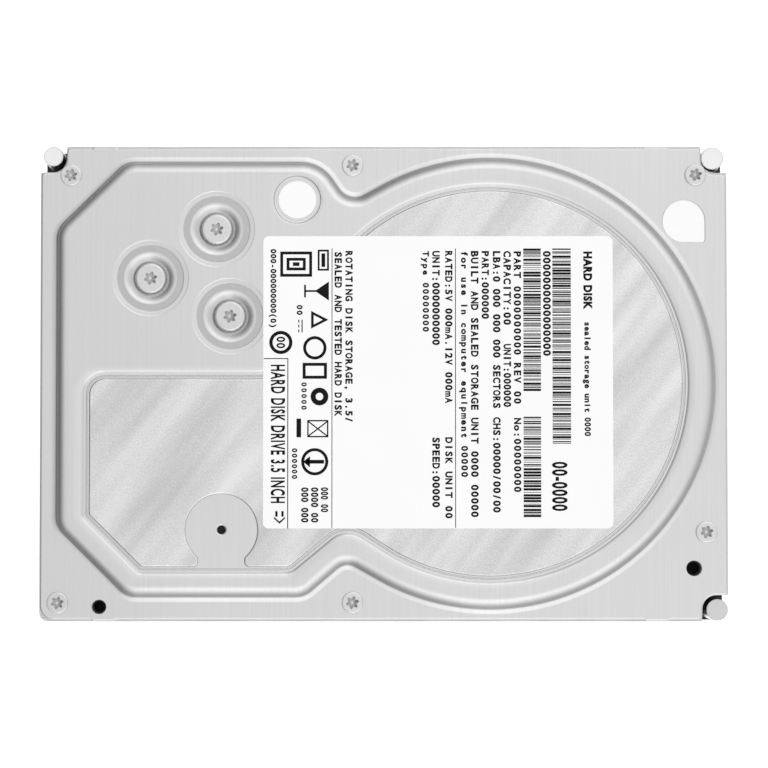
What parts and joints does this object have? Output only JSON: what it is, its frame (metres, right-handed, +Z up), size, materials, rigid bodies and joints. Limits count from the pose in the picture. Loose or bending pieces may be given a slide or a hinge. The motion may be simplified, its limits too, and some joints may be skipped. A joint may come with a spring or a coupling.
{
  "type": "hard disk drive",
  "caption": "Sealed rectangular disk drive with a stepped metal cover, label, machined mounting holes, a spinning platter stack, a swinging head arm and an edge connector.",
  "frame": {"origin": "middle of the underside's bounding box, where the side rails rest", "axes": "+X away from the connector end along the length, +Y to the side nearer the actuator pivot, +Z up through the cover and label"},
  "size_m": [0.147, 0.1016, 0.0261],
  "materials": {
    "casting": "satin black electrocoat over cast aluminium, bare and bright where machined",
    "cover": "satin light grey with a faint lengthwise grain",
    "damper": "satin, slightly brighter than the cover",
    "label": "matt white, printed black",
    "seal": "white sticker",
    "gasket": "matt black",
    "steel": "machined bright",
    "platter": "polished",
    "aluminium": "turned and machined",
    "magnet": "nickel plated",
    "copper": "enamelled copper windings",
    "board": "green solder mask over fibreglass",
    "chip": "moulded black",
    "connector": "moulded black",
    "plastic": "moulded natural",
    "filter": "white felt",
    "foam": "dark foam",
    "polyimide": "amber film"
  },
  "bodies": {
    "enclosure": {"base_casting": "casting", "board_insulator": "foam", "board_screw_1": "steel", "board_screw_2": "steel", "board_screw_3": "steel", "board_screw_4": "steel", "breather_filter": "filter", "circuit_board": "board", "controller_chip": "chip", "corner_seal": "seal", "cover_gasket": "gasket", "cover_screw_1": "steel", "cover_screw_2": "steel", "cover_screw_3": "steel", "cover_screw_4": "steel", "cover_screw_5": "steel", "cover_screw_6": "steel", "damper_plate": "damper", "flex_bracket": "plastic", "flex_cable": "polyimide", "load_ramp": "plastic", "lower_magnet": "magnet", "lower_yoke": "magnet", "motor_driver_chip": "chip", "motor_flange": "aluminium", "pivot_screw": "steel", "pivot_shaft": "steel", "product_label": "label", "recirculation_filter": "filter", "round_seal": "seal", "sata_connector": "connector", "stator": "copper", "top_cover": "cover", "upper_magnet": "magnet", "upper_yoke": "magnet", "yoke_screw_1": "steel", "yoke_screw_2": "steel"},
    "rotor": {"spindle_shaft": "steel", "spindle_hub": "aluminium", "rotor_magnet": "magnet", "disk_clamp": "steel", "platter_1": "platter", "platter_2": "platter", "platter_3": "platter", "platter_4": "platter", "platter_5": "platter", "platter_spacer_1": "aluminium", "platter_spacer_2": "aluminium", "platter_spacer_3": "aluminium", "platter_spacer_4": "aluminium"},
    "actuator": {"arm_block": "aluminium", "voice_coil": "copper", "pivot_bearing": "steel", "head_suspension_1": "steel", "head_suspension_2": "steel", "head_suspension_3": "steel", "head_suspension_4": "steel", "head_suspension_5": "steel", "head_suspension_6": "steel"},
    "latch": {"actuator_latch": "plastic"}
  },
  "joints": [
    {"name": "spindle", "type": "hinge", "parent": "enclosure", "child": "rotor", "pos_m": [0.0226, 0, 0.015], "axis": [0, 0, 1], "continuous": true},
    {"name": "actuator_pivot", "type": "hinge", "parent": "enclosure", "child": "actuator", "pos_m": [-0.03284, 0.0143, 0.0154], "axis": [0, 0, 1], "range_deg": [0, 37]},
    {"name": "latch_pivot", "type": "hinge", "parent": "enclosure", "child": "latch", "pos_m": [-0.06227, 0.03415, 0.0153], "axis": [0, 0, -1], "range_deg": [0, 8]}
  ]
}
